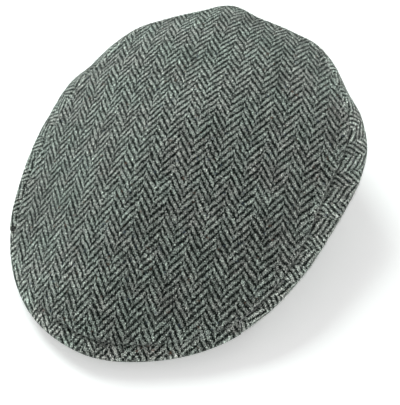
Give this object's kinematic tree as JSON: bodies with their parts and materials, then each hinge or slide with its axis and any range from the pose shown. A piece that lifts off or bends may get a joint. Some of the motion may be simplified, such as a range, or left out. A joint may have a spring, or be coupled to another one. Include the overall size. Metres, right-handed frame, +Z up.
{
  "type": "tweed cap",
  "caption": "Soft flat cap in herringbone tweed, with a one-piece top panel, side panels and a stiff front peak.",
  "frame": {"origin": "on the surface that the cap stands on, below the middle of the whole cap", "axes": "+Z up, -Y towards the front of the peak, +X towards the wearer's left"},
  "size_m": [0.2142, 0.2704, 0.089],
  "materials": {
    "crown_top": "woven wool tweed",
    "side_panel_left": "woven wool tweed",
    "side_panel_right": "woven wool tweed",
    "peak": "woven wool tweed over a stiff board"
  },
  "bodies": {
    "root": {"crown_top": "crown_top", "side_panel_left": "side_panel_left", "side_panel_right": "side_panel_right", "peak": "peak"}
  },
  "joints": []
}
